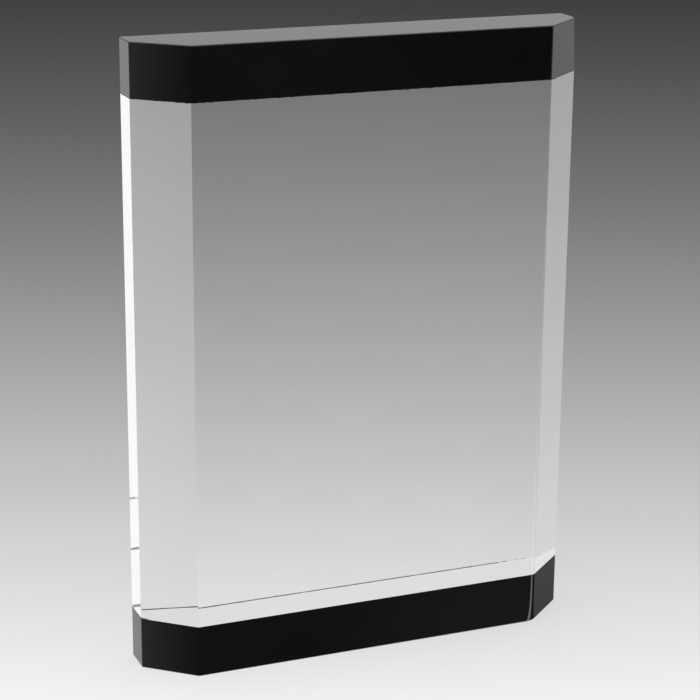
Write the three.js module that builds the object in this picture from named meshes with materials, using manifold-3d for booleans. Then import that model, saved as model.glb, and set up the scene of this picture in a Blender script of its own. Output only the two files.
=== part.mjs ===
// Acrylic photo frame: a thick clear block, bevelled down both front corners, between two black bars.
// Millimetres, +Z up. The front faces -Y, and the origin is under the middle of the frame.
import * as THREE from "three";
import { mergeVertices } from "three/addons/utils/BufferGeometryUtils.js";
import Module from "manifold-3d";

const wasm = await Module();
wasm.setup();

// The flat front window, which a print of 127 by 178 mm fills.
const windowWidth = 127;
const windowHeight = 179.5;

// The stock: clear acrylic of this thickness, and black bars cut to this height.
const overallDepth = 25;
const barHeight = 18;

// The slanted faces that run down both front corners, measured along the front and along the side.
const bevelWidth = 16;
const bevelDepth = 14;

// Polished edges: the upright corners, and the rim of each bar's outer end.
const cornerRadius = 0.8;
const rimRadius = 0.6;

// The cement in each joint: how far it holds the bars off the block, and its fit against both.
const jointThickness = 0.25;
const cementFit = 0.02;

// The bead of cement round the rim of a joint, and how unevenly it has crept inwards.
const beadSetback = 0.1;
const beadWidth = 1.1;
const beadWander = 0.45;
const beadLongWave = 17;
const beadShortWave = 5.5;

// Fineness of the model.
const arcSteps = 6;
const beadStep = 1.5;

// Sizes that follow.
const overallWidth = windowWidth + 2 * bevelWidth;
const blockBottom = barHeight + jointThickness;
const blockTop = blockBottom + windowHeight;
const topBarBottom = blockTop + jointThickness;

// The rim runs round the corners, so its rounding stays inside theirs.
const rimShareOfCorner = 0.9;
const rimRounding = Math.min(rimRadius, cornerRadius * rimShareOfCorner);

// The corners of the plan that the block and both bars share, anticlockwise from the back left.
function planCorners() {
  const side = overallWidth / 2;
  const back = overallDepth / 2;
  return [
    new THREE.Vector2(-side, back),
    new THREE.Vector2(-side, bevelDepth - back),
    new THREE.Vector2(bevelWidth - side, -back),
    new THREE.Vector2(side - bevelWidth, -back),
    new THREE.Vector2(side, bevelDepth - back),
    new THREE.Vector2(side, back),
  ];
}

// The direction from one corner to another, turned a quarter to the left, which is into the plan.
function inwardsOf(from, to) {
  const along = to.clone().sub(from).normalize();
  return new THREE.Vector2(-along.y, along.x);
}

// The corners of the same plan with every side moved inwards by a distance.
function insetCorners(corners, distance) {
  return corners.map((corner, i) => {
    const before = inwardsOf(corners.at(i - 1), corner);
    const after = inwardsOf(corner, corners[(i + 1) % corners.length]);
    const middle = before.clone().add(after).normalize();
    return corner.clone().addScaledVector(middle, distance / middle.dot(after));
  });
}

// A closed outline with an arc at each corner, which meets the sides on both hands.
function roundedOutline(corners, radius) {
  const outline = new THREE.Shape();
  insetCorners(corners, radius).forEach((centre, i) => {
    const before = inwardsOf(corners.at(i - 1), corners[i]).negate();
    const after = inwardsOf(corners[i], corners[(i + 1) % corners.length]).negate();
    outline.absarc(centre.x, centre.y, radius, before.angle(), after.angle(), false);
  });
  outline.closePath();
  return outline;
}

// A manifold-3d solid from a three.js geometry that is one closed surface.
function solidFrom(geometry) {
  const bare = geometry.clone().deleteAttribute("normal").deleteAttribute("uv");
  const merged = mergeVertices(bare);
  return new wasm.Manifold(
    new wasm.Mesh({
      numProp: 3,
      vertProperties: merged.getAttribute("position").array,
      triVerts: new Uint32Array(merged.index.array),
    }),
  );
}

// A three.js geometry from a manifold-3d solid, with flat faces shaded flat.
function geometryFrom(solid) {
  const mesh = solid.getMesh();
  const geometry = new THREE.BufferGeometry()
    .setAttribute("position", new THREE.BufferAttribute(mesh.vertProperties, mesh.numProp))
    .setIndex(new THREE.BufferAttribute(mesh.triVerts, 1))
    .toNonIndexed();
  geometry.computeVertexNormals();
  return geometry;
}

// The clear block: the plan drawn up to the window's height, square at both joints.
function clearBlockGeometry() {
  return new THREE.ExtrudeGeometry(roundedOutline(planCorners(), cornerRadius), {
    depth: windowHeight,
    curveSegments: arcSteps,
    bevelEnabled: false,
  });
}

// A bar, joint downwards: a blank rounded at both ends, faced off square where it meets the block.
function barGeometry() {
  const blank = new THREE.ExtrudeGeometry(roundedOutline(planCorners(), cornerRadius), {
    depth: barHeight - rimRounding,
    curveSegments: arcSteps,
    bevelSegments: arcSteps,
    bevelThickness: rimRounding,
    bevelSize: rimRounding,
    bevelOffset: -rimRounding,
  });
  const waste = new THREE.BoxGeometry(overallWidth * 2, overallDepth * 2, rimRounding * 2);
  waste.translate(0, 0, -rimRounding);
  return geometryFrom(solidFrom(blank).subtract(solidFrom(waste)));
}

// How far the cement has crept beyond its usual width, at a place along a side. It is nothing at the
// side's ends, so that the sides meet.
function creepAt(along, length, phase) {
  const ends = THREE.MathUtils.smoothstep(Math.min(along, length - along), 0, beadStep * 2);
  const long = Math.sin((2 * Math.PI * along) / beadLongWave + phase);
  const short = Math.sin((2 * Math.PI * along) / beadShortWave + 2 * phase);
  return (ends * beadWander * (long + short)) / 2;
}

// The uneven inner edge of a bead, side by side.
function creepLine(corners, phase) {
  const points = corners.flatMap((from, side) => {
    const to = corners[(side + 1) % corners.length];
    const length = from.distanceTo(to);
    const steps = Math.ceil(length / beadStep);
    return Array.from({ length: steps }, (_, step) => {
      const share = step / steps;
      const creep = creepAt(share * length, length, phase + side);
      return from.clone().lerp(to, share).addScaledVector(inwardsOf(from, to), creep);
    });
  });
  return new THREE.Path(points);
}

// The bead of cement in a joint. The air that it shuts in is what makes the clear block's end
// reflect light, so that the bar's black doesn't show through it.
function cementBeadGeometry(phase) {
  const rim = insetCorners(planCorners(), beadSetback);
  const bead = roundedOutline(rim, cornerRadius);
  bead.holes.push(creepLine(insetCorners(rim, beadWidth), phase));
  return new THREE.ExtrudeGeometry(bead, {
    depth: jointThickness - 2 * cementFit,
    curveSegments: arcSteps,
    bevelEnabled: false,
  });
}

// A named piece, standing at a height.
function piece(name, geometry, material, height) {
  const mesh = new THREE.Mesh(geometry, material);
  mesh.name = name;
  mesh.position.z = height;
  return mesh;
}

const clearAcrylic = new THREE.MeshStandardMaterial({
  color: 0xf4f6f7,
  roughness: 0.02,
  metalness: 0,
  transparent: true,
  opacity: 0.3,
});

const blackAcrylic = new THREE.MeshStandardMaterial({
  color: 0x0a0a0b,
  roughness: 0.05,
  metalness: 0,
});

const curedCement = new THREE.MeshStandardMaterial({
  color: 0x1c1c1d,
  roughness: 0.25,
  metalness: 0,
});

const clearBlock = piece("clear_block", clearBlockGeometry(), clearAcrylic, blockBottom);
const topBar = piece("top_bar", barGeometry(), blackAcrylic, topBarBottom);

// The bottom bar is the same piece turned over, about the line from front to back.
const bottomBar = piece("bottom_bar", barGeometry(), blackAcrylic.clone(), barHeight);
bottomBar.rotation.y = Math.PI;

// The two beads are laid by hand, so they creep differently.
const topPhase = 0.6;
const bottomPhase = 2.3;
const topBead = piece(
  "top_cement_bead",
  cementBeadGeometry(topPhase),
  curedCement,
  blockTop + cementFit,
);
const bottomBead = piece(
  "bottom_cement_bead",
  cementBeadGeometry(bottomPhase),
  curedCement.clone(),
  barHeight + cementFit,
);

const photoFrame = new THREE.Group();
photoFrame.name = "acrylic_photo_frame";
photoFrame.add(bottomBar, bottomBead, clearBlock, topBead, topBar);

export default photoFrame;
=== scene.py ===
"""The looks of the acrylic photo frame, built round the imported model.

A thick block of clear cast acrylic, bevelled down both front corners, stands between two black
bars of the same plan. A bead of cement runs round the rim of each joint and shuts a film of air in.
Everything is in metres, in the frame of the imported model: the front faces -Y and +Z is up.
"""

import logging
import math
from collections.abc import Callable, Iterable
from dataclasses import dataclass
from enum import Enum

import bmesh
import bpy
from mathutils import Matrix, Vector


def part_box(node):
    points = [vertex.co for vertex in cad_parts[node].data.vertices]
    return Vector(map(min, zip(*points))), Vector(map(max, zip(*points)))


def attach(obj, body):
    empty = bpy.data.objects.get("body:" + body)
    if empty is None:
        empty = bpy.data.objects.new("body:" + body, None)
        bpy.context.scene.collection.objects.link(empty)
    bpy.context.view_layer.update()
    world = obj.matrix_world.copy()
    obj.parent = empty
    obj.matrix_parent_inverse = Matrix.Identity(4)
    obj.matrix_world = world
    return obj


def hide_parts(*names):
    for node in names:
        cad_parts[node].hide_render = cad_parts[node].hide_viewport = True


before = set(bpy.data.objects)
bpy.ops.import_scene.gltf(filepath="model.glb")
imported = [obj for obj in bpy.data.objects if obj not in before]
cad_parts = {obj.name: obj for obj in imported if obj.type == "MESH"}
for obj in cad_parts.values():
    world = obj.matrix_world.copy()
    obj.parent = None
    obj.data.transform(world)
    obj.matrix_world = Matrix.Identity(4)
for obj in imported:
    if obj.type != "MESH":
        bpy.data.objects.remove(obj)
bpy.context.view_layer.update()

log = logging.getLogger("photo_frame")

Tree = bpy.types.NodeTree
Node = bpy.types.Node
Socket = bpy.types.NodeSocket
Feed = Node | Socket
Piece = bpy.types.Object

MM = 0.001

# Heights nearer to each other than this count as one.
SAME_HEIGHT = 0.01 * MM

# Two directions whose cosine is above this count as one.
ALIGNED = 0.99

# A corner turns by more than the first of these. A rounding's facets turn by less than the second.
# Corners whose turns differ by less than the third are rounded together.
CORNER_TURN = math.radians(20)
SMOOTH_TURN = math.radians(25)
SAME_TURN = 0.02


class Slot(Enum):
    """The record's material slots."""

    CLEAR = "clear_acrylic"
    BLACK = "black_acrylic"
    CEMENT = "acrylic_cement"


class Element(Enum):
    """What an edit-mode selection is made of."""

    VERTEX = "VERT"
    EDGE = "EDGE"
    FACE = "FACE"


class End(Enum):
    """Which end of the frame a piece is at, as the sign of its outward direction along Z."""

    TOP = 1
    BOTTOM = -1


# Colours and nodes.


def linear(code: str) -> tuple[float, float, float, float]:
    """Turns an sRGB hex colour into linear light.

    Args:
        code: The colour as "#rrggbb".

    Returns:
        Red, green, blue and an alpha of 1.
    """
    parts = [int(code[i : i + 2], 16) / 255 for i in (1, 3, 5)]
    light = [c / 12.92 if c <= 0.04045 else ((c + 0.055) / 1.055) ** 2.4 for c in parts]
    return (light[0], light[1], light[2], 1.0)


def add_node(
    tree: Tree,
    kind: str,
    settings: dict[str, object] | None = None,
    inputs: dict[str | int, object] | None = None,
) -> Node:
    """Adds a node to a tree.

    Args:
        tree: The material's or the world's node tree.
        kind: The node's type, without its "ShaderNode" prefix.
        settings: The node's own properties, by name.
        inputs: A value, an output or a node for each input, by name or place. A node stands for
            its first output.

    Returns:
        The new node.
    """
    node = tree.nodes.new("ShaderNode" + kind)
    for name, value in (settings or {}).items():
        setattr(node, name, value)
    for name, value in (inputs or {}).items():
        source = value.outputs[0] if isinstance(value, Node) else value
        if isinstance(source, Socket):
            tree.links.new(source, node.inputs[name])
        else:
            node.inputs[name].default_value = source
    return node


def new_tree(owner: bpy.types.Material | bpy.types.World) -> Tree:
    """Gives a material or a world an empty node tree.

    Args:
        owner: The material or world.

    Returns:
        Its node tree.
    """
    owner.use_nodes = True
    owner.node_tree.nodes.clear()
    return owner.node_tree


def ranges(
    before: tuple[float, float], after: tuple[float, float] = (0.0, 1.0)
) -> dict[str, float]:
    """Names the ends of two ranges, one of which is mapped to the other.

    Args:
        before: The ends of the range that goes in.
        after: The ends of the range that comes out.

    Returns:
        The four ends, by the names of a range's inputs.
    """
    return dict(zip(("From Min", "From Max", "To Min", "To Max"), before + after))


def ramp_stops(node: Node, stops: Iterable[tuple[float, str | float]]) -> None:
    """Sets the stops of a colour ramp.

    Args:
        node: The ramp's node.
        stops: Each stop's place from 0 to 1, with its hex colour or its grey level.
    """
    elements = node.color_ramp.elements
    while len(elements) > 1:
        elements.remove(elements[-1])
    for i, (place, value) in enumerate(stops):
        element = elements[0] if i == 0 else elements.new(place)
        element.position = place
        element.color = linear(value) if isinstance(value, str) else (value, value, value, 1.0)


# Finishes.


def plastic_surface(
    tree: Tree, relief: Node, height: float, look: dict[str, object], strength: float = 1.0
) -> Node:
    """Adds a smooth plastic surface with a shallow relief.

    Args:
        tree: The material's node tree.
        relief: The pattern that the relief follows.
        height: How far it rises.
        look: The surface's other inputs, by name.
        strength: How much of the relief the light shows.

    Returns:
        The surface's node.
    """
    shape = {"Strength": strength, "Distance": height, "Height": relief}
    bump = add_node(tree, "Bump", inputs=shape)
    return add_node(tree, "BsdfPrincipled", inputs={**look, "Normal": bump})


@dataclass(frozen=True)
class ClearCastAcrylic:
    """Clear cast acrylic sheet, sawn and flame- and buff-polished.

    It is colourless through 25 mm and bends light by 1.49. What gives it away to the eye is the
    faint ripple of the cast face and the slight haze that the buffing wheel leaves.
    """

    ior: float = 1.49
    clear: str = "#fefefe"
    smoky: str = "#f9fafa"
    edge_tint: str = "#e6ebea"
    absorption: float = 0.6
    ripple_length: float = 14 * MM
    ripple_height: float = 0.0012 * MM
    haze_length: float = 30 * MM
    haze: tuple[float, float] = (0.0, 0.004)
    haze_span: tuple[float, float] = (0.45, 0.8)
    smoky_span: tuple[float, float] = (0.3, 0.75)

    def material(self) -> bpy.types.Material:
        """Makes the material, with the ripple as bump and the haze as roughness.

        Returns:
            The material.
        """
        made = bpy.data.materials.new("clear_cast_acrylic_polished")
        tree = new_tree(made)
        place = add_node(tree, "TexCoord").outputs["Object"]
        wide = {"Vector": place, "Scale": 1 / self.haze_length, "Detail": 2.0}
        clouds = add_node(tree, "TexNoise", inputs=wide)
        haze = {"Value": clouds, **ranges(self.haze_span, self.haze)}
        roughness = add_node(tree, "MapRange", inputs=haze)
        tint = add_node(tree, "ValToRGB", inputs={"Fac": clouds})
        ramp_stops(tint, zip(self.smoky_span, (self.clear, self.smoky)))
        cast = {"Vector": place, "Scale": 1 / self.ripple_length, "Detail": 0.0}
        ripple = add_node(tree, "TexNoise", inputs=cast)
        look = {
            "Base Color": tint,
            "Roughness": roughness,
            "IOR": self.ior,
            "Transmission Weight": 1.0,
        }
        surface = plastic_surface(tree, ripple, self.ripple_height, look)
        depth = {"Color": linear(self.edge_tint), "Density": self.absorption}
        body = add_node(tree, "VolumeAbsorption", inputs=depth)
        add_node(tree, "OutputMaterial", inputs={"Surface": surface, "Volume": body})
        return made


@dataclass(frozen=True)
class BlackCastAcrylic:
    """Black cast acrylic, sawn, scraped and buffed to a mirror gloss.

    The colour goes right through. The eye sees only what its surface reflects, with the faint
    lines of the scraper along the bar and a soft unevenness from the buffing wheel.
    """

    ior: float = 1.49
    black: str = "#050506"
    grey: str = "#0b0b0c"
    cloud_length: float = 22 * MM
    cloud_span: tuple[float, float] = (0.3, 0.8)
    line_spacing: float = 0.6 * MM
    line_length: float = 60 * MM
    wear_span: tuple[float, float] = (0.12, 0.45)
    gloss: tuple[float, float] = (0.015, 0.06)
    ripple_length: float = 9 * MM
    ripple_height: float = 0.002 * MM

    def material(self) -> bpy.types.Material:
        """Makes the material, with the scraper's lines and the buffing in roughness and bump.

        Returns:
            The material.
        """
        made = bpy.data.materials.new("black_cast_acrylic_buffed")
        tree = new_tree(made)
        place = add_node(tree, "TexCoord").outputs["Object"]
        soft = {"Vector": place, "Scale": 1 / self.cloud_length, "Detail": 3.0}
        clouds = add_node(tree, "TexNoise", inputs=soft)
        colour = add_node(tree, "ValToRGB", inputs={"Fac": clouds})
        ramp_stops(colour, zip(self.cloud_span, (self.black, self.grey)))
        across = 1 / self.line_spacing
        stretch = {"Vector": place, "Scale": (1 / self.line_length, across, across)}
        drawn = add_node(tree, "Mapping", inputs=stretch)
        fine = {"Vector": drawn, "Scale": 1.0, "Detail": 2.0}
        lines = add_node(tree, "TexNoise", inputs=fine)
        worn = add_node(tree, "Math", {"operation": "MULTIPLY"}, {0: clouds, 1: lines})
        wear = {"Value": worn, **ranges(self.wear_span, self.gloss)}
        roughness = add_node(tree, "MapRange", inputs=wear)
        buffing = {"Vector": place, "Scale": 1 / self.ripple_length, "Detail": 1.0}
        ripple = add_node(tree, "TexNoise", inputs=buffing)
        look = {"Base Color": colour, "Roughness": roughness, "IOR": self.ior}
        surface = plastic_surface(tree, ripple, self.ripple_height, look)
        add_node(tree, "OutputMaterial", inputs={"Surface": surface})
        return made


@dataclass(frozen=True)
class CuredCement:
    """Acrylic cement that ran in at the rim, took up black from the bar and cured.

    It is glassy where it wetted both faces and dull where the solvent bubbled as it dried.
    """

    ior: float = 1.49
    dark: str = "#08080a"
    pale: str = "#1e1e20"
    gloss: tuple[float, float] = (0.45, 0.15)
    bubble_length: float = 0.9 * MM
    bubble_height: float = 0.02 * MM
    bubble_strength: float = 0.5
    bubble_span: tuple[float, float] = (0.1, 0.5)

    def material(self) -> bpy.types.Material:
        """Makes the material, with the bubbles in its colour, roughness and bump.

        Returns:
            The material.
        """
        made = bpy.data.materials.new("acrylic_cement_cured")
        tree = new_tree(made)
        place = add_node(tree, "TexCoord").outputs["Object"]
        cells = {"Vector": place, "Scale": 1 / self.bubble_length}
        bubbles = add_node(tree, "TexVoronoi", inputs=cells)
        colour = add_node(tree, "ValToRGB", inputs={"Fac": bubbles})
        ramp_stops(colour, zip(self.bubble_span, (self.pale, self.dark)))
        dulled = {"Value": bubbles, **ranges((0.0, 1.0), self.gloss)}
        roughness = add_node(tree, "MapRange", inputs=dulled)
        look = {"Base Color": colour, "Roughness": roughness, "IOR": self.ior}
        surface = plastic_surface(tree, bubbles, self.bubble_height, look, self.bubble_strength)
        add_node(tree, "OutputMaterial", inputs={"Surface": surface})
        return made


# Modelling.


@dataclass(frozen=True)
class Plan:
    """The outline, seen from above, that the block and both bars share."""

    half_width: float
    half_depth: float
    bevel_width: float = 16 * MM
    bevel_depth: float = 14 * MM

    def bevel_normal(self, side: int) -> Vector:
        """The outward direction of a bevel, on the right (1) or on the left (-1)."""
        return Vector((side * self.bevel_depth, -self.bevel_width, 0)).normalized()

    def bevel_point(self, side: int) -> Vector:
        """The corner between the front and a bevel, on the right (1) or on the left (-1)."""
        return Vector((side * (self.half_width - self.bevel_width), -self.half_depth, 0))

    def side_point(self, side: int) -> Vector:
        """The corner between a bevel and its side, on the right (1) or on the left (-1)."""
        return Vector((side * self.half_width, self.bevel_depth - self.half_depth, 0))

    def depth_of(self, point: Vector) -> float:
        """How far a point lies inside the nearest side.

        Args:
            point: The point, whose height doesn't count.

        Returns:
            The distance.
        """
        slants = [
            (self.bevel_point(side) - point).dot(self.bevel_normal(side)) for side in (1, -1)
        ]
        straights = [self.half_width - abs(point.x), self.half_depth - abs(point.y)]
        return min(slants + straights)


def pick(piece: Piece, element: Element, wanted: Callable[..., bool]) -> None:
    """Selects the elements of one kind that pass a test, in edit mode.

    Args:
        piece: The piece that is being edited.
        element: The kind of element.
        wanted: The test, given a bmesh vertex, edge or face.
    """
    bpy.ops.mesh.select_mode(type=element.value)
    bpy.ops.mesh.select_all(action="DESELECT")
    shape = bmesh.from_edit_mesh(piece.data)
    kinds = {Element.VERTEX: shape.verts, Element.EDGE: shape.edges, Element.FACE: shape.faces}
    for item in kinds[element]:
        item.select_set(wanted(item))
    bmesh.update_edit_mesh(piece.data)


def is_at(vertex: bmesh.types.BMVert, height: float) -> bool:
    """Whether a point lies at a height."""
    return abs(vertex.co.z - height) < SAME_HEIGHT


def is_upright(edge: bmesh.types.BMEdge) -> bool:
    """Whether an edge stands upright."""
    run = edge.verts[1].co - edge.verts[0].co
    return abs(run.z) > ALIGNED * run.length


def round_picked(offset: float, segments: int) -> None:
    """Rounds the selected edges.

    Args:
        offset: How far the rounding reaches along the faces at an edge.
        segments: The number of facets in its arc.
    """
    bpy.ops.mesh.bevel(
        offset=offset, segments=segments, profile=0.5, affect="EDGES", clamp_overlap=False
    )


def stock(name: str, plan: Plan, low: float, high: float, setback: float = 0.0) -> Piece:
    """Saws a solid with the frame's plan, and leaves it in edit mode.

    Args:
        name: The piece's name.
        plan: The plan.
        low: The height of its lower end.
        high: The height of its upper end.
        setback: How far all its sides stand inside the plan.

    Returns:
        The piece, all its corners still sharp.
    """
    bpy.ops.object.select_all(action="DESELECT")
    width = 2 * (plan.half_width - setback)
    depth = 2 * (plan.half_depth - setback)
    bpy.ops.mesh.primitive_cube_add(
        size=1, location=(0, 0, (low + high) / 2), scale=(width, depth, high - low)
    )
    piece = bpy.context.object
    piece.name = piece.data.name = name
    bpy.ops.object.transform_apply(location=True, rotation=True, scale=True)
    bpy.ops.object.mode_set(mode="EDIT")
    for side in (1, -1):
        normal = plan.bevel_normal(side)
        bpy.ops.mesh.select_all(action="SELECT")
        bpy.ops.mesh.bisect(
            plane_co=plan.bevel_point(side) - normal * setback,
            plane_no=normal,
            use_fill=True,
            clear_outer=True,
        )
    return piece


def round_uprights(piece: Piece, plan: Plan, radius: float, segments: int) -> None:
    """Rounds the upright corners on the outside of a piece.

    Args:
        piece: The piece that is being edited.
        plan: Its plan, which tells outer corners from inner ones.
        radius: The radius of each corner's arc.
        segments: The number of facets in each arc.
    """

    def turn_at(edge: bmesh.types.BMEdge) -> float:
        """The angle of an outer upright corner, or 0 where an edge is none."""
        outer = is_upright(edge) and plan.depth_of(edge.verts[0].co) < radius / 2
        turn = edge.calc_face_angle(0)
        return turn if outer and turn > CORNER_TURN else 0.0

    shape = bmesh.from_edit_mesh(piece.data)
    turns = {round(turn_at(edge), 2) for edge in shape.edges} - {0.0}
    for turn in sorted(turns):
        pick(piece, Element.EDGE, lambda edge, t=turn: abs(turn_at(edge) - t) < SAME_TURN)
        round_picked(radius * math.tan(turn / 2), segments)


@dataclass(frozen=True)
class BuffedCorner:
    """An upright corner that the buffing wheel has worn rounder in places.

    Its radius is given at each height, from the top of the frame down.
    """

    corner: Vector
    radii: tuple[tuple[float, float], ...]

    def heights_between(self, low: float, high: float) -> list[float]:
        """The heights of the changes in radius inside a piece, off its ends by a millimetre.

        Args:
            low: The piece's lower end.
            high: Its upper end.

        Returns:
            The heights, from the top down.
        """
        return [height for height, _ in self.radii if low + MM < height < high - MM]

    def radius_at(self, height: float) -> float:
        """The radius at a height, between those that are given.

        Args:
            height: The height.

        Returns:
            The radius.
        """
        for (above, first), (below, second) in zip(self.radii, self.radii[1:]):
            if height >= below:
                share = min(1.0, max(0.0, (above - height) / (above - below)))
                return first + share * (second - first)
        return self.radii[-1][1]

    def buff(self, piece: Piece, radius: float) -> None:
        """Widens the corner's arc at each height. An arc that grows from its corner stays tangent.

        Args:
            piece: The piece, in edit mode, whose corners are rounded alike.
            radius: The radius that they have.
        """
        corner = self.corner

        def is_near(vertex: bmesh.types.BMVert) -> bool:
            """Whether a point is on the corner's arc."""
            return (vertex.co.xy - corner.xy).length < radius / 2

        shape = bmesh.from_edit_mesh(piece.data)
        heights = {round(vertex.co.z, 6) for vertex in shape.verts if is_near(vertex)}
        for height in sorted(heights):
            pick(piece, Element.VERTEX, lambda v, level=height: is_near(v) and is_at(v, level))
            growth = self.radius_at(height) / radius
            bpy.ops.transform.resize(
                value=(growth, growth, 1), center_override=(corner.x, corner.y, height)
            )


@dataclass(frozen=True)
class Polish:
    """How the block and the bars are polished: all upright corners alike, then some rounder."""

    buffed: tuple[BuffedCorner, ...]
    radius: float = 0.6 * MM
    segments: int = 10

    def apply(self, piece: Piece, plan: Plan, low: float, high: float) -> None:
        """Rounds a piece's upright corners.

        Args:
            piece: The piece, in edit mode.
            plan: Its plan.
            low: The height of its lower end.
            high: The height of its upper end.
        """
        heights = {height for corner in self.buffed for height in corner.heights_between(low, high)}
        for height in sorted(heights, reverse=True):
            bpy.ops.mesh.select_all(action="SELECT")
            bpy.ops.mesh.bisect(plane_co=(0, 0, height), plane_no=(0, 0, 1))
        round_uprights(piece, plan, self.radius, self.segments)
        for corner in self.buffed:
            corner.buff(piece, self.radius)


def buffed_corners(plan: Plan) -> tuple[BuffedCorner, ...]:
    """The right front corner, worn towards the foot, and the right side corner, worn at the top.

    Args:
        plan: The plan that the corners belong to.

    Returns:
        The two corners.
    """
    front = [(216, 0.6), (197.75, 0.6), (140, 1.0), (95, 1.7), (55, 2.4), (18.25, 2.8)]
    front += [(10, 3.0), (7, 3.3), (4.5, 3.8), (2.5, 4.6), (1.2, 5.5), (0, 6.5)]
    side = [(216, 6.5), (213.5, 6.0), (210, 4.8), (206, 3.2), (202, 1.8), (199.5, 1.0)]
    side += [(197.75, 0.6), (0, 0.6)]
    return tuple(
        BuffedCorner(corner, tuple((height * MM, radius * MM) for height, radius in radii))
        for corner, radii in ((plan.bevel_point(1), front), (plan.side_point(1), side))
    )


def finish_mesh(piece: Piece) -> None:
    """Closes the edit, shades the roundings smooth and keeps the flats flat.

    Args:
        piece: The piece.
    """
    bpy.ops.mesh.select_all(action="SELECT")
    bpy.ops.mesh.normals_make_consistent(inside=False)
    bpy.ops.object.mode_set(mode="OBJECT")
    bpy.ops.object.shade_smooth_by_angle(angle=SMOOTH_TURN)
    weighted = piece.modifiers.new("flat_faces_flat", "WEIGHTED_NORMAL")
    weighted.keep_sharp = True
    weighted.weight = 100
    bpy.ops.object.modifier_apply(modifier=weighted.name)


def dress(piece: Piece, material: bpy.types.Material, node: str) -> None:
    """Gives a piece its material and ties it to the frame.

    Args:
        piece: The finished piece.
        material: Its material.
        node: The CAD node that it stands for.
    """
    piece.data.materials.clear()
    piece.data.materials.append(material)
    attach(piece, "root")
    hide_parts(node)
    triangles = sum(len(p.vertices) - 2 for p in piece.data.polygons)
    log.info("%s: %d triangles, %s", piece.name, triangles, material.name)


# The pieces.


@dataclass
class ClearBlock:
    """The clear block, square at both joints, with its upright corners polished round."""

    plan: Plan
    polish: Polish
    node: str = "clear_block"

    def build(self) -> Piece:
        """Models the block between the heights of its CAD node.

        Returns:
            The piece.
        """
        low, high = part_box(self.node)
        piece = stock("clear_block_polished", self.plan, low.z, high.z)
        self.polish.apply(piece, self.plan, low.z, high.z)
        finish_mesh(piece)
        return piece

    def dress(self, piece: Piece, material: bpy.types.Material) -> None:
        """Gives the block its finish."""
        dress(piece, material, self.node)


@dataclass
class BlackBar:
    """A black bar, square at the joint and rounded along the rim of its outer end."""

    plan: Plan
    end: End
    polish: Polish
    rim_radius: float = 0.45 * MM

    @property
    def node(self) -> str:
        """The CAD node that the bar stands for."""
        return "top_bar" if self.end is End.TOP else "bottom_bar"

    def build(self) -> Piece:
        """Models the bar between the heights of its CAD node.

        Returns:
            The piece.
        """
        low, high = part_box(self.node)
        piece = stock(self.node + "_buffed", self.plan, low.z, high.z)
        self.polish.apply(piece, self.plan, low.z, high.z)
        outer = high.z if self.end is End.TOP else low.z
        pick(piece, Element.EDGE, lambda edge: all(is_at(v, outer) for v in edge.verts))
        round_picked(self.rim_radius, self.polish.segments)
        finish_mesh(piece)
        return piece

    def dress(self, piece: Piece, material: bpy.types.Material) -> None:
        """Gives the bar its finish."""
        dress(piece, material, self.node)


@dataclass(frozen=True)
class Wetting:
    """How unevenly the cement wets the block: how far it rises and falls, and over what length."""

    height: float
    length: float


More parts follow.
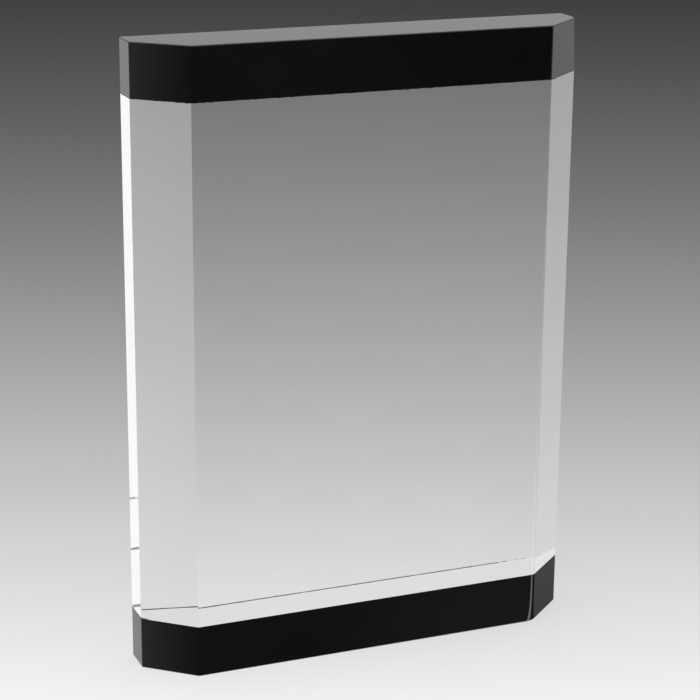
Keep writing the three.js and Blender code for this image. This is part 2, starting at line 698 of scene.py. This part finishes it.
@dataclass
class CementBead:
    """The bead of cement round the rim of a joint, with an inner edge that has crept unevenly.

    It reaches a hair into the bar all along. It wets the block too, unevenly, up to wet_to on the
    right. From there it has half parted from the block, by parting, and from dry_from on it has
    dried off it, by drying. In the lower joint it has dried off all along the front.
    """

    plan: Plan
    end: End
    wetting: Wetting
    setback: float = 0.1 * MM
    width: float = 1.0 * MM
    wander: float = 0.9 * MM
    wander_length: float = 3.5 * MM
    wet_to: float = 50 * MM
    dry_from: float = 68 * MM
    parting: float = 0.034 * MM
    drying: float = 0.07 * MM
    spacing: float = 0.9 * MM
    reach: float = 0.03 * MM
    corner_radius: float = 0.7 * MM
    segments: int = 4

    @property
    def node(self) -> str:
        """The CAD node that the bead stands for."""
        return "top_cement_bead" if self.end is End.TOP else "bottom_cement_bead"

    def heights(self) -> tuple[float, float]:
        """The heights between which the bead lies, a hair inside the block and the bar."""
        _, bar_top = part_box("bottom_bar")
        block_low, block_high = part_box("clear_block")
        bar_low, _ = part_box("top_bar")
        faces = (block_high.z, bar_low.z) if self.end is End.TOP else (bar_top.z, block_low.z)
        return faces[0] - self.reach, faces[1] + self.reach

    def build(self) -> Piece:
        """Models the bead as a ring and lets it creep.

        Returns:
            The piece.
        """
        low, high = self.heights()
        piece = stock(self.node + "_crept", self.plan, low, high, self.setback)
        self.divide_sides(piece)
        pick(piece, Element.FACE, lambda face: abs(face.normal.z) > ALIGNED)
        bpy.ops.mesh.inset(thickness=self.width, depth=0, use_even_offset=True)
        bpy.ops.mesh.bridge_edge_loops()
        self.creep(piece)
        bpy.ops.object.mode_set(mode="EDIT")
        round_uprights(piece, self.plan, self.corner_radius, self.segments)
        finish_mesh(piece)
        return piece

    def divide_sides(self, piece: Piece) -> None:
        """Cuts each side of the ring into short lengths, so that its edge can wander.

        Args:
            piece: The ring's blank, in edit mode.
        """
        shape = bmesh.from_edit_mesh(piece.data)
        sides = [f.normal.copy() for f in shape.faces if abs(f.normal.z) < 1 - ALIGNED]
        for normal in sides:

            def along(edge: bmesh.types.BMEdge, normal: Vector = normal) -> bool:
                """Whether an edge runs along this side."""
                touches = any(f.normal.dot(normal) > ALIGNED for f in edge.link_faces)
                return touches and not is_upright(edge)

            pick(piece, Element.EDGE, along)
            shape = bmesh.from_edit_mesh(piece.data)
            length = max(e.calc_length() for e in shape.edges if e.select)
            bpy.ops.mesh.subdivide(number_cuts=round(length / self.spacing) - 1)

    def creep(self, piece: Piece) -> None:
        """Moves the face at the block up and down, and the ring's inner wall in and out.

        Args:
            piece: The ring, in edit mode, which is left in object mode.
        """
        low, high = self.heights()
        at_block = low if self.end is End.TOP else high
        half_height = (high - low) / 2
        middle = self.setback + self.width / 2

        def has_dried(vertex: bmesh.types.BMVert) -> bool:
            """Whether the cement has dried off the block at a point."""
            at_front = self.end is End.BOTTOM and vertex.co.y < 0
            return is_at(vertex, at_block) and (at_front or vertex.co.x > self.dry_from)

        def has_parted(vertex: bmesh.types.BMVert) -> bool:
            """Whether the cement has half parted from the block at a point that hasn't dried."""
            return is_at(vertex, at_block) and vertex.co.x > self.wet_to

        for wanted, gap in ((has_dried, self.drying), (has_parted, self.parting)):
            pick(piece, Element.VERTEX, wanted)
            bpy.ops.transform.translate(value=(0, 0, self.end.value * gap))
        self.wander_group(
            piece,
            "inner_wall",
            lambda v: self.plan.depth_of(v.co) > middle,
            self.wander_length,
            {"X": self.wander, "Y": self.wander},
        )
        self.wander_group(
            piece,
            "wetted_face",
            lambda v: abs(v.co.z - at_block) < half_height,
            self.wetting.length,
            {"Z": self.wetting.height},
        )

    def wander_group(
        self,
        piece: Piece,
        name: str,
        wanted: Callable[..., bool],
        length: float,
        strengths: dict[str, float],
    ) -> None:
        """Displaces some of a piece's points by a cloudy pattern.

        Args:
            piece: The ring.
            name: The name of the group that the points make.
            wanted: Which points move.
            length: The pattern's length.
            strengths: How far they move along each axis, from one extreme to the other.
        """
        bpy.ops.object.mode_set(mode="EDIT")
        pick(piece, Element.VERTEX, wanted)
        group = piece.vertex_groups.new(name=name)
        bpy.ops.object.vertex_group_assign()
        bpy.ops.object.mode_set(mode="OBJECT")
        pattern = bpy.data.textures.new(name, "CLOUDS")
        pattern.noise_scale = length
        pattern.noise_depth = 1
        for axis, strength in strengths.items():
            moved = piece.modifiers.new(name + axis, "DISPLACE")
            moved.direction = axis
            moved.texture = pattern
            moved.texture_coords = "LOCAL"
            moved.vertex_group = group.name
            moved.mid_level = 0.5
            moved.strength = strength
            bpy.ops.object.modifier_apply(modifier=moved.name)
        piece.vertex_groups.clear()

    def dress(self, piece: Piece, material: bpy.types.Material) -> None:
        """Gives the bead its finish."""
        dress(piece, material, self.node)


# The studio.


def level_direction(azimuth: float) -> Vector:
    """The level direction at an azimuth in degrees, which goes from +Y towards +X."""
    turn = math.radians(azimuth)
    return Vector((math.sin(turn), math.cos(turn), 0))


def near_azimuth(tree: Tree, around: Feed, azimuth: float, core: float, edge: float) -> Node:
    """Tells level directions that are near an azimuth.

    Args:
        tree: The node tree.
        around: The level direction.
        azimuth: The azimuth in degrees.
        core: How many degrees from it the answer stays 1.
        edge: How many degrees from it the answer becomes 0.

    Returns:
        The node that gives the answer, from 0 to 1.
    """
    ahead = {0: around, 1: level_direction(azimuth)}
    product = add_node(tree, "VectorMath", {"operation": "DOT_PRODUCT"}, ahead)
    ends = ranges((math.cos(math.radians(edge)), math.cos(math.radians(core))))
    soft = {"interpolation_type": "SMOOTHSTEP"}
    return add_node(tree, "MapRange", soft, {"Value": product.outputs["Value"], **ends})


def past(tree: Tree, rise: Feed, edge: float, fade: float) -> Node:
    """Tells directions above an edge, or below it if the fade is negative.

    Args:
        tree: The node tree.
        rise: The upward part of the direction.
        edge: The edge, as an upward part.
        fade: How far the change reaches to both sides of the edge.

    Returns:
        The node that gives the answer, from 0 to 1.
    """
    soft = {"interpolation_type": "SMOOTHSTEP"}
    ends = ranges((edge - fade, edge + fade))
    return add_node(tree, "MapRange", soft, {"Value": rise, **ends})


@dataclass(frozen=True)
class Card:
    """A reflector card or a dark flag that stands round the object.

    It stands at an azimuth in degrees from +Y towards +X, and its core and its soft edge reach that
    far to both sides. Its foot and its top are upward parts of the direction, and it fades over
    fade to both sides of each. Its level is lift + share * the backdrop's grey. One that is only a
    glint shows where light has been reflected on its way, and never straight through the block.
    """

    azimuth: float
    core: float
    edge: float
    lift: float
    share: float = 0.0
    foot: float = -1.0
    top: float = 0.0
    fade: float = 0.03
    glint: bool = False


@dataclass(frozen=True)
class Surroundings:
    """What the gloss, or the clear block, shows of the studio.

    The ceiling is its grey at each upward part of a direction. The cards cover one another in turn.
    The far floor, if it is given, is the grey at each downward part of the flattest directions.
    """

    ceiling: tuple[tuple[float, float], ...]
    cards: tuple[Card, ...]
    far_floor: tuple[tuple[float, float], ...] = ()


@dataclass(frozen=True)
class Outlook:
    """A direction that the world is looked at in, as feeds in its node tree.

    They are the level direction, the direction's upward part and the backdrop's grey in it.
    """

    tree: Tree
    around: Feed
    rise: Feed
    level: Feed


@dataclass
class Studio:
    """A pale floor that falls off to grey, soft light from all round and one soft box overhead.

    The clear block and the gloss of the bars show the backdrop and the cards, which the camera
    and the floor don't see. Angles are in degrees.
    """

    # The camera, with its lens and its sensor in millimetres.
    view_azimuth: float = 22.41
    view_elevation: float = 17.099
    view_roll: float = 0.4945
    camera_place: tuple[float, float, float] = (-0.27379, -0.65494, 0.32446)
    lens: float = 111.44
    sensor: float = 36.0
    nearest: float = 0.01
    farthest: float = 200.0

    # The floor, and the pool of light on it.
    floor_size: float = 60.0
    floor_drop: float = 0.05 * MM
    pool_centre: float = -0.08
    pool_half_length: float = 0.26
    pool_near: float = 0.12
    falloff_start: float = 1.025
    falloff_rate: float = 1.763
    falloff_power: float = 1.177
    far_grey: float = 0.054

    # The light.
    own_light: float = 0.78
    sky_diffuse: float = 0.75
    box_height: float = 1.7
    box_size: float = 1.5
    box_radiance: float = 1.25
    bounces: int = 24
    inner_bounces: int = 20

    # The backdrop, and where the floor takes its place in the clear block.
    backdrop_lift: float = 0.1
    backdrop_share: float = 0.92
    least_fall: float = 0.001
    flat_from: float = -0.15
    flat_fade: float = 0.008
    wedge: float = 36.0
    wedge_fade: float = 14.0
    wedge_forward: float = 0.06
    far_rate: float = 1.575
    in_gloss: Surroundings = Surroundings(
        ceiling=((0.0, 0.12), (0.06, 0.15), (0.14, 0.6), (0.3, 0.75), (1.0, 1.0)),
        cards=(
            Card(-21.0, 6.0, 11.0, 0.97, -0.08),
            Card(68.0, 6.0, 12.0, 0.805, -0.73),
            Card(53.0, 4.0, 7.0, 0.02, foot=-0.25),
            Card(37.0, 8.0, 10.0, 0.4, foot=-0.25),
            Card(98.0, 14.0, 19.0, 0.05),
            Card(137.0, 7.0, 12.0, 1.5),
            Card(137.0, 6.0, 11.0, 3.4, top=-0.39, fade=0.001),
            Card(157.0, 6.0, 9.0, 0.05, 0.17),
            Card(207.0, 48.0, 54.0, 0.10),
            Card(262.9, 14.5, 19.0, 0.9),
        ),
    )
    in_block: Surroundings = Surroundings(
        ceiling=((0.0, 0.05), (0.18, 0.08), (0.27, 0.745), (0.45, 0.78), (1.0, 1.0)),
        cards=(
            Card(-6.0, 3.0, 11.0, 0.25, 0.78, top=-0.15, fade=0.008),
            Card(-6.0, 3.0, 11.0, 0.9, foot=0.25, top=1.0),
            Card(47.0, 8.0, 14.0, 0.32, 0.57, top=-0.15, fade=0.008),
            Card(47.0, 8.0, 14.0, 0.755, foot=0.25, top=1.0),
            Card(122.0, 9.5, 11.5, 1.02, top=0.6, glint=True),
        ),
        far_floor=((0.0, 0.054), (0.05, 0.06), (0.1, 0.19), (0.12, 0.28), (0.15, 0.4)),
    )

    def camera(self) -> None:
        """Sets the camera up at the photograph's viewing angle, with no shift and no blur."""
        data = bpy.data.cameras.new("camera")
        data.sensor_width = self.sensor
        data.lens = self.lens
        data.clip_start = self.nearest
        data.clip_end = self.farthest
        made = bpy.data.objects.new("camera", data)
        bpy.context.scene.collection.objects.link(made)
        made.matrix_world = (
            Matrix.Translation(self.camera_place)
            @ Matrix.Rotation(-math.radians(self.view_azimuth), 4, "Z")
            @ Matrix.Rotation(math.radians(90 - self.view_elevation), 4, "X")
            @ Matrix.Rotation(math.radians(self.view_roll), 4, "Z")
        )
        bpy.context.scene.camera = made

    def floor(self) -> None:
        """Lays the floor."""
        bpy.ops.object.select_all(action="DESELECT")
        bpy.ops.mesh.primitive_plane_add(size=self.floor_size, location=(0, 0, -self.floor_drop))
        plane = bpy.context.object
        plane.name = "floor"
        bpy.ops.object.transform_apply(location=True, rotation=True, scale=True)
        plane.data.materials.append(self.floor_material())

    def falloff(self, tree: Tree, distance: Feed) -> Node:
        """The grey of the floor at a distance, which falls off as the light from a lamp does.

        Args:
            tree: The node tree.
            distance: The distance from the pool of light.

        Returns:
            The node that gives the grey.
        """
        bending = {0: distance, 1: self.falloff_power}
        bent = add_node(tree, "Math", {"operation": "POWER"}, bending)
        spreading = {0: bent, 1: self.falloff_rate, 2: self.falloff_start}
        spread = add_node(tree, "Math", {"operation": "MULTIPLY_ADD"}, spreading)
        level = add_node(tree, "Math", {"operation": "POWER"}, {0: spread, 1: -2.0})
        return add_node(tree, "Math", {"operation": "MAXIMUM"}, {0: level, 1: self.far_grey})

    def floor_level(self, tree: Tree, place: Socket) -> Node:
        """The floor's grey: a pool of light round the object, longer across the view than along it.

        Args:
            tree: The floor's node tree.
            place: The Object coordinates.

        Returns:
            The node that gives the grey.
        """
        turning = {
            "Vector": place,
            "Location": (0, -self.pool_centre, 0),
            "Rotation": (0, 0, math.radians(self.view_azimuth)),
        }
        turned = add_node(tree, "Mapping", inputs=turning)
        parts = add_node(tree, "SeparateXYZ", inputs={"Vector": turned}).outputs
        across = add_node(tree, "Math", {"operation": "ABSOLUTE"}, {0: parts["X"]})
        length = {0: across, 1: self.pool_half_length}
        beyond = add_node(tree, "Math", {"operation": "SUBTRACT"}, length)
        outside = add_node(tree, "Math", {"operation": "MAXIMUM"}, {0: beyond, 1: 0.0})
        offset = add_node(tree, "CombineXYZ", inputs={"X": outside, "Y": parts["Y"]})
        distance = add_node(tree, "VectorMath", {"operation": "LENGTH"}, {0: offset})
        return self.falloff(tree, distance.outputs["Value"])

    def floor_material(self) -> bpy.types.Material:
        """Makes the floor's material.

        Part of its colour is its own light where the camera sees it, which keeps the object's
        shadow soft. The gloss of the bars looks past it at the backdrop, and so does the clear
        block, except where it is looked straight through to the side or to the front.

        Returns:
            The material.
        """
        made = bpy.data.materials.new("studio_floor_matt")
        made.cycles.emission_sampling = "NONE"
        tree = new_tree(made)
        place = add_node(tree, "TexCoord").outputs["Object"]
        ray = add_node(tree, "LightPath").outputs
        level = self.floor_level(tree, place)
        matt = add_node(tree, "BsdfDiffuse", inputs={"Color": level})
        own = add_node(tree, "Emission", inputs={"Color": level})
        from_camera = {0: ray["Is Camera Ray"], 1: self.own_light}
        seen = add_node(tree, "Math", {"operation": "MULTIPLY"}, from_camera)
        plain = add_node(tree, "MixShader", inputs={"Fac": seen, 1: matt, 2: own})
        sharpening = {0: level, 1: self.far_rate, 2: self.far_grey * (1 - self.far_rate)}
        sharper = add_node(tree, "Math", {"operation": "MULTIPLY_ADD"}, sharpening)
        either = {0: sharper, 1: self.lifted(tree, level)}
        shown = add_node(tree, "Math", {"operation": "MINIMUM"}, either)
        in_block = add_node(tree, "Emission", inputs={"Color": shown})
        unseen = add_node(tree, "BsdfTransparent")
        sees = self.sees_floor(tree, ray, place)
        through = add_node(tree, "MixShader", inputs={"Fac": sees, 1: unseen, 2: in_block})
        from_acrylic = self.in_acrylic(tree, ray)
        whole = add_node(tree, "MixShader", inputs={"Fac": from_acrylic, 1: plain, 2: through})
        add_node(tree, "OutputMaterial", inputs={"Surface": whole})
        return made

    def in_acrylic(self, tree: Tree, ray: bpy.types.NodeOutputs) -> Node:
        """Tells rays that come from the acrylic's gloss or through its clear block.

        Args:
            tree: The node tree.
            ray: The outputs of its Light Path node.

        Returns:
            The node that gives 1 for such a ray and 0 for any other.
        """
        either = {0: ray["Is Glossy Ray"], 1: ray["Is Transmission Ray"]}
        return add_node(tree, "Math", {"operation": "MAXIMUM"}, either)

    def lifted(self, tree: Tree, level: Feed) -> Node:
        """The floor's grey as the clear block shows it, with less contrast."""
        lifting = {0: level, 1: self.backdrop_share, 2: self.backdrop_lift}
        return add_node(tree, "Math", {"operation": "MULTIPLY_ADD"}, lifting)

    def sees_floor(self, tree: Tree, ray: bpy.types.NodeOutputs, place: Socket) -> Node:
        """Tells rays straight through the block to the floor beside it and in front of it.

        Behind the block, in a wedge that opens along the view, the backdrop and the cards stand.
        Its point lies a little before the block.

        Args:
            tree: The floor's node tree.
            ray: The outputs of its Light Path node.
            place: The Object coordinates.

        Returns:
            The node that gives 1 for such a ray and 0 for any other.
        """
        forward = level_direction(self.view_azimuth) * self.wedge_forward
        from_point = add_node(tree, "VectorMath", {"operation": "ADD"}, {0: place, 1: forward})
        around = add_node(tree, "VectorMath", {"operation": "NORMALIZE"}, {0: from_point})
        edge = self.wedge + self.wedge_fade
        behind = near_azimuth(tree, around, self.view_azimuth, self.wedge, edge)
        beside = add_node(tree, "Math", {"operation": "SUBTRACT"}, {0: 1.0, 1: behind})
        reflections = {0: ray["Glossy Depth"], 1: 0.5}
        straight = add_node(tree, "Math", {"operation": "LESS_THAN"}, reflections)
        both = {0: ray["Is Transmission Ray"], 1: straight}
        through = add_node(tree, "Math", {"operation": "MULTIPLY"}, both)
        return add_node(tree, "Math", {"operation": "MULTIPLY"}, {0: through, 1: beside})

    def outlook(self, tree: Tree) -> Outlook:
        """Works out the backdrop below the horizon, which continues the floor the camera sees.

        Args:
            tree: The world's node tree.

        Returns:
            The direction that is looked in, with the backdrop's grey.
        """
        towards = add_node(tree, "TexCoord").outputs["Generated"]
        rise = add_node(tree, "SeparateXYZ", inputs={"Vector": towards}).outputs["Z"]
        level_part = {0: towards, 1: (1, 1, 0)}
        flat = add_node(tree, "VectorMath", {"operation": "MULTIPLY"}, level_part)
        around = add_node(tree, "VectorMath", {"operation": "NORMALIZE"}, {0: flat})
        run = add_node(tree, "VectorMath", {"operation": "LENGTH"}, {0: flat}).outputs["Value"]
        drop = add_node(tree, "Math", {"operation": "MULTIPLY"}, {0: rise, 1: -1.0})
        fall = add_node(tree, "Math", {"operation": "MAXIMUM"}, {0: drop, 1: self.least_fall})
        slope = add_node(tree, "Math", {"operation": "DIVIDE"}, {0: run, 1: fall})
        eye = Vector(self.camera_place)
        stand_off = eye.dot(level_direction(self.view_azimuth)) - self.pool_centre
        reaching = {0: slope, 1: eye.z, 2: stand_off}
        reached = add_node(tree, "Math", {"operation": "MULTIPLY_ADD"}, reaching)
        before = add_node(tree, "Math", {"operation": "MULTIPLY"}, {0: reached, 1: -1.0})
        near = add_node(tree, "Math", {"operation": "MINIMUM"}, {0: before, 1: self.pool_near})
        distance = add_node(tree, "Math", {"operation": "MAXIMUM"}, {0: reached, 1: near})
        return Outlook(tree, around, rise, self.falloff(tree, distance))

    def surroundings(self, outlook: Outlook, what: Surroundings) -> Node:
        """Puts the ceiling above the horizon, the backdrop below it and the cards before both.

        Args:
            outlook: The direction that is looked in.
            what: The ceiling, the cards and the far floor.

        Returns:
            The node that gives the grey.
        """
        tree = outlook.tree
        below = self.lifted(tree, outlook.level)
        if what.far_floor:
            drop = add_node(tree, "Math", {"operation": "MULTIPLY"}, {0: outlook.rise, 1: -1.0})
            far = add_node(tree, "ValToRGB", inputs={"Fac": drop})
            ramp_stops(far, what.far_floor)
            flat = past(tree, outlook.rise, self.flat_from, self.flat_fade)
            below = add_node(tree, "Mix", inputs={"Factor": flat, "A": below, "B": far})
        ceiling = add_node(tree, "ValToRGB", inputs={"Fac": outlook.rise})
        ceiling.color_ramp.interpolation = "EASE"
        ramp_stops(ceiling, what.ceiling)
        is_up = add_node(tree, "Math", {"operation": "GREATER_THAN"}, {0: outlook.rise, 1: 0.0})
        shown = add_node(tree, "Mix", inputs={"Factor": is_up, "A": below, "B": ceiling})
        for card in what.cards:
            shown = self.with_card(outlook, shown, card)
        return shown

    def with_card(self, outlook: Outlook, shown: Node, card: Card) -> Node:
        """Stands a card before what is already there.

        Args:
            outlook: The direction that is looked in.
            shown: What is seen where the card isn't.
            card: The card.

        Returns:
            The node that gives the grey with the card.
        """
        tree = outlook.tree
        there = near_azimuth(tree, outlook.around, card.azimuth, card.core, card.edge)
        limits = [
            past(tree, outlook.rise, card.foot, card.fade),
            past(tree, outlook.rise, card.top, -card.fade),
        ]
        if card.glint:
            depth = add_node(tree, "LightPath").outputs["Glossy Depth"]
            limits.append(add_node(tree, "Math", {"operation": "MINIMUM"}, {0: depth, 1: 1.0}))
        for limit in limits:
            there = add_node(tree, "Math", {"operation": "MULTIPLY"}, {0: limit, 1: there})
        shading = {0: outlook.level, 1: card.share, 2: card.lift}
        own = add_node(tree, "Math", {"operation": "MULTIPLY_ADD"}, shading)
        return add_node(tree, "Mix", inputs={"Factor": there, "A": shown, "B": own})

    def lamp(self) -> None:
        """Hangs the soft box."""
        data = bpy.data.lights.new("soft_box", "AREA")
        data.shape = "SQUARE"
        data.size = self.box_size
        data.energy = self.box_radiance * math.pi * self.box_size**2
        lamp = bpy.data.objects.new("soft_box", data)
        lamp.location = (0, 0, self.box_height)
        bpy.context.scene.collection.objects.link(lamp)

    def world(self) -> None:
        """Sets the light, the backdrop and the cards all round."""
        world = bpy.data.worlds.new("studio")
        bpy.context.scene.world = world
        tree = new_tree(world)
        ray = add_node(tree, "LightPath").outputs
        outlook = self.outlook(tree)
        either = {
            "Factor": ray["Is Transmission Ray"],
            "A": self.surroundings(outlook, self.in_gloss),
            "B": self.surroundings(outlook, self.in_block),
        }
        walls = add_node(tree, "Mix", inputs=either)
        open_air = {"Factor": ray["Is Camera Ray"], "A": self.sky_diffuse, "B": self.far_grey}
        plain = add_node(tree, "Mix", inputs=open_air)
        from_acrylic = self.in_acrylic(tree, ray)
        strength = add_node(tree, "Mix", inputs={"Factor": from_acrylic, "A": plain, "B": walls})
        back = add_node(tree, "Background", inputs={"Color": (1, 1, 1, 1), "Strength": strength})
        add_node(tree, "OutputWorld", inputs={"Surface": back})

    def build(self) -> None:
        """Sets up the camera, the floor and the light."""
        self.camera()
        self.floor()
        self.lamp()
        self.world()
        scene = bpy.context.scene
        scene.view_settings.view_transform = "Standard"
        scene.cycles.max_bounces = self.bounces
        scene.cycles.glossy_bounces = self.inner_bounces
        scene.cycles.transmission_bounces = self.inner_bounces
        log.info("studio: floor, soft box, backdrop and camera")


def main() -> None:
    """Builds the studio and the frame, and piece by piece."""
    logging.basicConfig(level=logging.INFO, format="%(name)s: %(message)s")
    Studio().build()
    _, block_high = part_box("clear_block")
    plan = Plan(half_width=block_high.x, half_depth=block_high.y)
    clear = ClearCastAcrylic().material()
    black = BlackCastAcrylic().material()
    cement = CuredCement().material()
    polish = Polish(buffed_corners(plan))
    wettings = {End.TOP: Wetting(0.6 * MM, 1.2 * MM), End.BOTTOM: Wetting(0.08 * MM, 4 * MM)}
    block = ClearBlock(plan, polish)
    block.dress(block.build(), clear)
    for end in End:
        bar = BlackBar(plan, end, polish)
        bar.dress(bar.build(), black)
        bead = CementBead(plan, end, wettings[end])
        bead.dress(bead.build(), cement)


if __name__ == "__main__":
    main()
